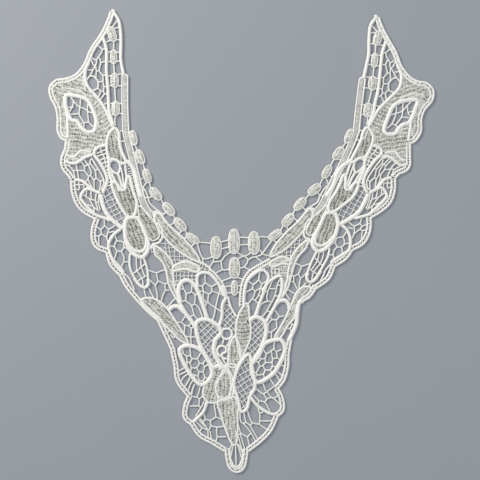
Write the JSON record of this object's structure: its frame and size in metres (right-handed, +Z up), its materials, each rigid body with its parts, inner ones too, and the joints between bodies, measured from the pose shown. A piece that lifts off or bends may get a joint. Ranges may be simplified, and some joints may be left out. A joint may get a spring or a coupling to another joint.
{
  "type": "lace collar",
  "caption": "Flat V-neck collar of openwork lace: two wings joined by a pointed bib, with corded leaves, petals, nets and beads.",
  "frame": {"origin": "middle of the collar's bounding box, on the flat underside that the lace lies on", "axes": "+Z up through the face of the lace, +Y from the point of the V to the shoulder tips, +X to the right as the lace is seen from above"},
  "size_m": [0.3004, 0.3609, 0.0026],
  "materials": {
    "ivory_thread": "satin-stitched ivory thread with a soft sheen"
  },
  "bodies": {
    "root": {"left_tip": "ivory_thread", "left_lobe": "ivory_thread", "left_shoulder": "ivory_thread", "left_flank": "ivory_thread", "left_leaves": "ivory_thread", "right_tip": "ivory_thread", "right_lobe": "ivory_thread", "right_shoulder": "ivory_thread", "right_flank": "ivory_thread", "right_leaves": "ivory_thread", "bib_upper": "ivory_thread", "bib_lower": "ivory_thread"}
  },
  "joints": []
}
